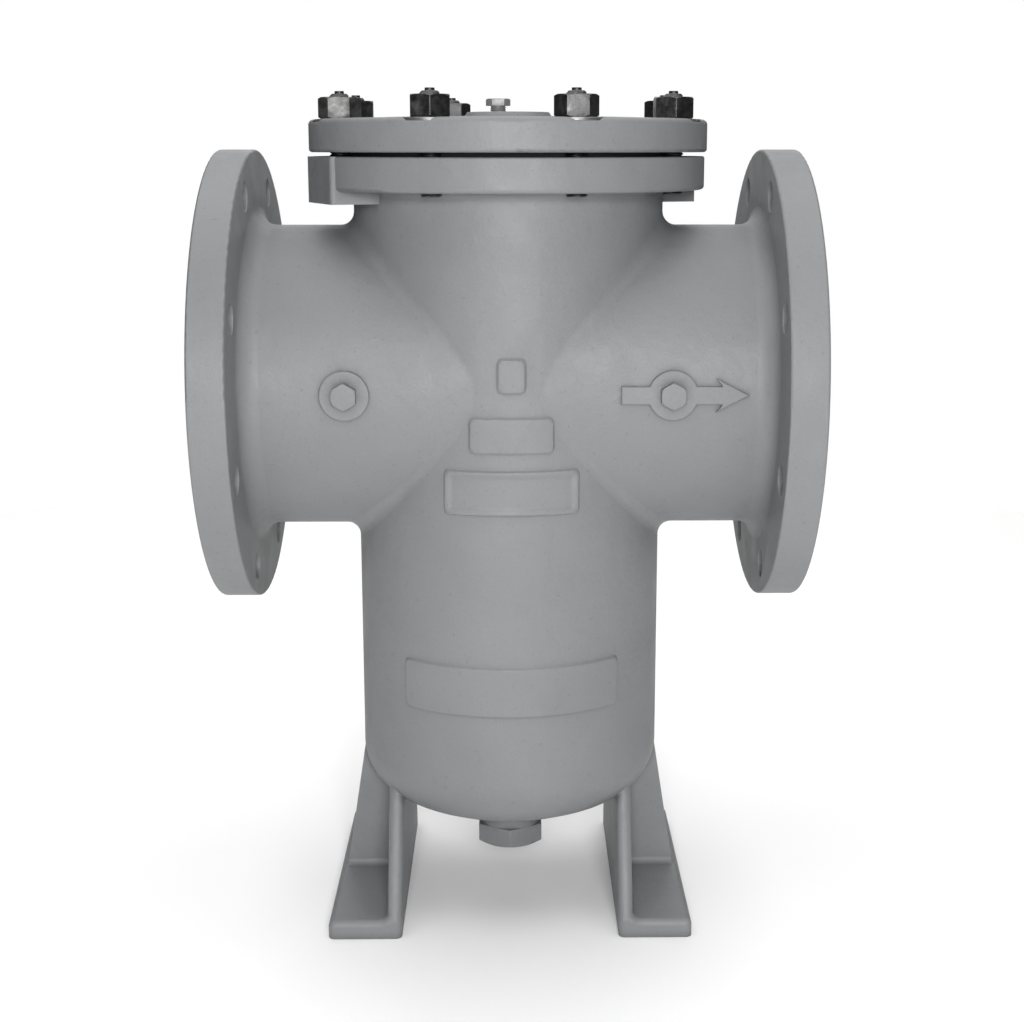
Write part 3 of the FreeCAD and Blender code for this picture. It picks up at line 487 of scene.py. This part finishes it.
def add_thread(shape, radius, pitch, low, high, chamfers):
    """Adds a closed threaded rod along Z, from low to high, with a chamfer at each end."""
    depth = pitch * 0.61
    profile = ((0.0, radius - depth), (0.42, radius), (0.56, radius))
    turns = math.ceil((high - low) / pitch) + 2
    rows = []
    for step in range(turns * THREAD_STEPS + 1):
        angle = FULL_TURN * step / THREAD_STEPS
        row = []
        for share, reach in profile:
            level = low - pitch + pitch * (step / THREAD_STEPS + share)
            for chamfer, inside in zip(chamfers, (level - low, high - level)):
                reach = min(reach, radius - chamfer + max(inside, 0.0))
            row.append(shape.verts.new((reach * math.cos(angle), reach * math.sin(angle), level)))
        rows.append(row)
    for step in range(turns * THREAD_STEPS):
        here, ahead = rows[step], rows[step + 1]
        for first, second in ((0, 1), (1, 2)):
            shape.faces.new((here[first], ahead[first], ahead[second], here[second]))
        turn_later = step + THREAD_STEPS
        if turn_later + 1 < len(rows):
            above, above_ahead = rows[turn_later], rows[turn_later + 1]
            shape.faces.new((here[2], ahead[2], above_ahead[0], above[0]))
    for level, side in ((low, -1.0), (high, 1.0)):
        cut_off(shape, (0, 0, level), (0, 0, side))
        rim = [edge for edge in shape.edges if edge.is_boundary
               and all(abs(vert.co.z - level) < 1e-7 for vert in edge.verts)]
        bmesh.ops.contextual_create(shape, geom=rim)
    bmesh.ops.recalc_face_normals(shape, faces=shape.faces)


def add_studs():
    """Eight 5/8 inch studs, 11 threads to the inch, with a short plain point on top."""
    for stud in STUDS:
        low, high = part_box(stud)
        shape = bmesh.new()
        shoulder = high.z - STUD_POINT_LENGTH
        add_thread(shape, (high.x - low.x) / 2, STUD_PITCH, low.z, shoulder, (0.0012, 0.0024))
        foot = shoulder - 0.0005
        place = Matrix.Translation((0, 0, (foot + high.z) / 2))
        bmesh.ops.create_cone(shape, cap_ends=True, segments=28, radius1=STUD_POINT_RADIUS,
                              radius2=STUD_POINT_RADIUS - 0.0003, depth=high.z - foot, matrix=place)
        bmesh.ops.translate(shape, verts=shape.verts, vec=(*middle(stud).xy, 0))
        add_piece(stud + "_threaded", shape, OXIDE, "strainer_body", "dark_steel", stud)


def add_nuts():
    """Heavy hexagon nuts with soft forged edges. The one at the front left has been wrenched bare."""
    worn = min(NUTS, key=lambda nut: middle(nut).y + 2 * middle(nut).x)
    for nut in NUTS:
        finish = WORN_OXIDE if nut == worn else OXIDE
        piece = add_piece(nut + "_forged", copy_of(nut), finish, nut, "dark_steel", nut)
        apply_bevel(piece, 0.0004)


def add_plug(node, finish, axis, shank_radius, pitch):
    """A plug's own head with soft edges, and a real thread in place of its plain shank."""
    shape = copy_of(node)
    direction = Vector(axis)
    foot = min(corner.dot(direction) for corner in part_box(node))
    on_axis = middle(node) - direction * middle(node).dot(direction)
    head_foot = min(
        vert.co.dot(direction)
        for vert in shape.verts
        if (vert.co - on_axis - direction * vert.co.dot(direction)).length > shank_radius * 1.02
    )
    cut_off(shape, on_axis + direction * (head_foot - 1e-5), -direction)
    rims = [edge for edge in shape.edges if edge.is_boundary]
    bmesh.ops.contextual_create(shape, geom=rims)
    head = add_piece(node + "_head", shape, finish, node, "plug_paint", node)
    apply_bevel(head, 0.0005)
    thread = bmesh.new()
    add_thread(thread, shank_radius, pitch, foot, head_foot + 0.0002, (0.001, 0.001))
    turn = Vector((0, 0, 1)).rotation_difference(direction).to_matrix().to_4x4()
    bmesh.ops.transform(thread, matrix=Matrix.Translation(on_axis) @ turn, verts=thread.verts)
    add_piece(node + "_thread", thread, DULL_ZINC, node, "plug_paint")


def add_plugs():
    """The vent plug, the two gauge plugs and the drain plug."""
    add_plug("vent_plug", DULL_ZINC, (0, 0, 1), VENT_SHANK_RADIUS, SMALL_PLUG_PITCH)
    for node in ("inlet_gauge_plug", "outlet_gauge_plug"):
        add_plug(node, PLUG_ENAMEL, (0, -1, 0), GAUGE_SHANK_RADIUS, SMALL_PLUG_PITCH)
    add_plug("drain_plug", PLUG_ENAMEL, (0, 0, -1), DRAIN_SHANK_RADIUS, DRAIN_PLUG_PITCH)


def pad_height(across, up, width, height, corner, depth):
    """How far a raised pad stands out at one place: its full depth inside a soft rounded border."""
    beside = abs(across) - (width / 2 - corner)
    above = abs(up) - (height / 2 - corner)
    outside = math.hypot(max(beside, 0.0), max(above, 0.0)) + min(max(beside, above), 0.0) - corner
    share = min(max(-outside / PAD_SLOPE, 0.0), 1.0)
    return depth * share * share * (3 - 2 * share)


def add_barrel_pad(name, up, width, height, frame_width=0.0):
    """A blank raised pad on the front of the barrel, with a higher frame round it if one is asked for."""
    margin = PAD_SLOPE
    columns = round((width + 2 * margin) / PAD_CELL)
    rows = round((height + 2 * margin) / PAD_CELL)
    shape = bmesh.new()
    bmesh.ops.create_grid(shape, x_segments=columns, y_segments=rows, size=0.5)
    for vert in shape.verts:
        across = vert.co.x * (width + 2 * margin)
        rise = vert.co.y * (height + 2 * margin)
        lift = pad_height(across, rise, width, height, PAD_CORNER, PAD_DEPTH)
        if frame_width:
            inner_size = (width - 2 * frame_width, height - 2 * frame_width)
            lift -= pad_height(across, rise, *inner_size, FRAME_CORNER, FRAME_DEPTH)
        reach = BARREL_RADIUS + lift - PAD_BORDER_SUNK
        angle = (across + PADS_ASIDE) / BARREL_RADIUS
        vert.co = (reach * math.sin(angle), -reach * math.cos(angle), PIPE_HEIGHT + up + rise)
    made = bmesh.ops.extrude_face_region(shape, geom=shape.faces[:])["geom"]
    for vert in [item for item in made if isinstance(item, bmesh.types.BMVert)]:
        vert.co.xy = vert.co.xy.normalized() * (BARREL_RADIUS - PAD_BACK_SUNK)
    bmesh.ops.recalc_face_normals(shape, faces=shape.faces)
    add_piece(name, shape, CASTING, "strainer_body", "casting_paint")


def add_barrel_pads():
    """Blank pads where the casting carries its marks."""
    add_barrel_pad("size_pad", 0.014, 0.022, 0.027)
    add_barrel_pad("class_pad", -0.029, 0.063, 0.028)
    add_barrel_pad("framed_pad", -0.071, 0.102, 0.035, frame_width=0.004)
    add_barrel_pad("maker_pad", -0.221, 0.176, 0.040)


def ring_of_points(centre, radius, count):
    """Points evenly round a circle."""
    angles = [FULL_TURN * step / count for step in range(count)]
    return [centre + radius * Vector((math.cos(angle), math.sin(angle))) for angle in angles]


def add_perforated_shell():
    """The rolled sheet of the basket: a six-sided cell round every hole, wrapped into a cylinder."""
    low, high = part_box("basket_shell")
    columns = round(FULL_TURN * BASKET_RADIUS / HOLE_PITCH)
    shape = bmesh.new()
    for row in range(math.ceil((high.z - low.z) / ROW_RISE) + 2):
        level = low.z + row * ROW_RISE
        for column in range(columns):
            angle = FULL_TURN * (column + row % 2 / 2) / columns
            above_slope = level - BASKET_RADIUS * math.cos(angle) - (high.z - high.x)
            if above_slope < 2 * HOLE_PITCH:
                add_shell_cell(shape, angle, level, columns)
    bmesh.ops.remove_doubles(shape, verts=shape.verts, dist=1e-5)
    lower_cut = (low, Vector((0, 0, -1)))
    sloping_cut = (Vector((high.x, 0, high.z)), Vector((-1, 0, 1)).normalized())
    for place, outward in (lower_cut, sloping_cut):
        cut_off(shape, place, outward)
        rims = [edge for edge in shape.edges if edge.is_boundary]
        bmesh.ops.holes_fill(shape, edges=rims)
    bmesh.ops.recalc_face_normals(shape, faces=shape.faces)
    add_piece("basket_shell_perforated", shape, SHEET_STEEL, "basket", "stainless_sheet", "basket_shell")


def add_shell_cell(shape, angle, level, columns):
    """One hole of the basket's sheet with the metal round it, inside and outside."""
    rings = []
    for radius in (BASKET_RADIUS, BASKET_RADIUS - SHEET):
        for is_hole in (False, True):
            ring = []
            for step in range(HOLE_SIDES):
                direction = FULL_TURN * step / HOLE_SIDES
                border = HOLE_PITCH / math.sqrt(3) if step % 2 else HOLE_PITCH / 2
                reach = HOLE_RADIUS if is_hole else border
                turn = angle + reach * math.cos(direction) * FULL_TURN / columns / HOLE_PITCH
                up = level + reach * math.sin(direction)
                ring.append(shape.verts.new((radius * math.cos(turn), radius * math.sin(turn), up)))
            rings.append(ring)
    outer_border, outer_hole, inner_border, inner_hole = rings
    for first, second in ((outer_border, outer_hole), (outer_hole, inner_hole), (inner_hole, inner_border)):
        for step in range(HOLE_SIDES):
            after = (step + 1) % HOLE_SIDES
            shape.faces.new((first[step], first[after], second[after], second[step]))


def add_perforated_floor():
    """The basket's flat bottom, with the same holes."""
    low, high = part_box("basket_bottom_plate")
    span = math.ceil(high.x / ROW_RISE)
    centres = []
    for row in range(-span, span + 1):
        for column in range(-span, span + 1):
            centre = Vector((HOLE_PITCH * (column + row % 2 / 2), row * ROW_RISE))
            if centre.length < high.x - 0.8 * HOLE_PITCH:
                centres.append(centre)
    points, edges = [], []
    loops = [ring_of_points(Vector((0, 0)), high.x, 96)]
    loops += [ring_of_points(centre, HOLE_RADIUS, HOLE_SIDES) for centre in centres]
    for loop in loops:
        first = len(points)
        points += loop
        edges += [(first + step, first + (step + 1) % len(loop)) for step in range(len(loop))]
    places, _, triangles = delaunay_2d_cdt(points, edges, [], 0, 1e-7)[:3]
    shape = bmesh.new()
    verts = [shape.verts.new((place.x, place.y, low.z)) for place in places]
    for triangle in triangles:
        centre = sum((places[corner] for corner in triangle), Vector((0, 0))) / 3
        if min((centre - hole).length for hole in centres) > HOLE_RADIUS * 0.97:
            shape.faces.new([verts[corner] for corner in triangle])
    made = bmesh.ops.extrude_face_region(shape, geom=shape.faces[:])["geom"]
    raised = [item for item in made if isinstance(item, bmesh.types.BMVert)]
    bmesh.ops.translate(shape, verts=raised, vec=(0, 0, high.z - low.z))
    bmesh.ops.recalc_face_normals(shape, faces=shape.faces)
    add_piece("basket_floor_perforated", shape, SHEET_STEEL, "basket", "stainless_sheet",
              "basket_bottom_plate")


finish_cad_nodes()
add_studs()
add_nuts()
add_plugs()
add_barrel_pads()
add_perforated_shell()
add_perforated_floor()


# ---- stage, lights and camera --------------------------------------------------------------

FLOOR_RADIUS = 1.6
CAMERA_PLACE = Vector((0.0019, -1.257, 0.593))
CAMERA_PITCH = 0.200
CAMERA_ROLL = -0.014
CAMERA_LENS = 57.06
CAMERA_SHIFT = (-0.0214, -0.0338)


def add_floor():
    """A wide pale floor under the feet."""
    shape = bmesh.new()
    bmesh.ops.create_circle(shape, cap_ends=True, radius=FLOOR_RADIUS, segments=96)
    mesh = bpy.data.meshes.new("floor")
    shape.to_mesh(mesh)
    shape.free()
    mesh.materials.append(pale_floor())
    floor = bpy.data.objects.new("floor", mesh)
    floor.location.z = BODY_LOW.z - 0.0002
    bpy.context.scene.collection.objects.link(floor)


def add_light(name, place, target, size, power):
    """A soft area light at place, turned towards target."""
    light = bpy.data.lights.new(name, "AREA")
    light.shape = "SQUARE"
    light.size = size
    light.energy = power
    lamp = bpy.data.objects.new(name, light)
    lamp.location = place
    lamp.rotation_euler = (Vector(target) - Vector(place)).to_track_quat("-Z", "Y").to_euler()
    bpy.context.scene.collection.objects.link(lamp)


def add_world():
    """A white studio for the camera that lights the object only dimly."""
    world = bpy.data.worlds.new("studio")
    world.use_nodes = True
    tree = world.node_tree
    tree.nodes.clear()
    path = tree.nodes.new("ShaderNodeLightPath")
    light = tree.nodes.new("ShaderNodeBackground")
    seen = tree.nodes.new("ShaderNodeBackground")
    light.inputs["Strength"].default_value = 0.10
    seen.inputs["Strength"].default_value = 1.0
    for background in (light, seen):
        background.inputs["Color"].default_value = grey(1.0)
    mix = tree.nodes.new("ShaderNodeMixShader")
    output = tree.nodes.new("ShaderNodeOutputWorld")
    tree.links.new(path.outputs["Is Camera Ray"], mix.inputs["Fac"])
    tree.links.new(light.outputs[0], mix.inputs[1])
    tree.links.new(seen.outputs[0], mix.inputs[2])
    tree.links.new(mix.outputs[0], output.inputs["Surface"])
    bpy.context.scene.world = world


def add_camera():
    """The photographer's camera: in front, a little above the pipe."""
    lens = bpy.data.cameras.new("camera")
    lens.lens = CAMERA_LENS
    lens.sensor_width = 36.0
    lens.shift_x, lens.shift_y = CAMERA_SHIFT
    camera = bpy.data.objects.new("camera", lens)
    camera.location = CAMERA_PLACE
    camera.rotation_euler = (math.pi / 2 - CAMERA_PITCH, 0, CAMERA_ROLL)
    bpy.context.scene.collection.objects.link(camera)
    bpy.context.scene.camera = camera


add_floor()
add_light("key", (0.06, -1.75, 0.74), (0, 0, 0.42), 0.50, 28)
add_light("top", (0, 0.5, 3.0), (0, 0.5, 0), 4.2, 120)
add_light("back", (0, 2.6, 1.3), (0, 0, 0.4), 1.6, 15)
add_world()
add_camera()
bpy.context.scene.view_settings.view_transform = "Standard"
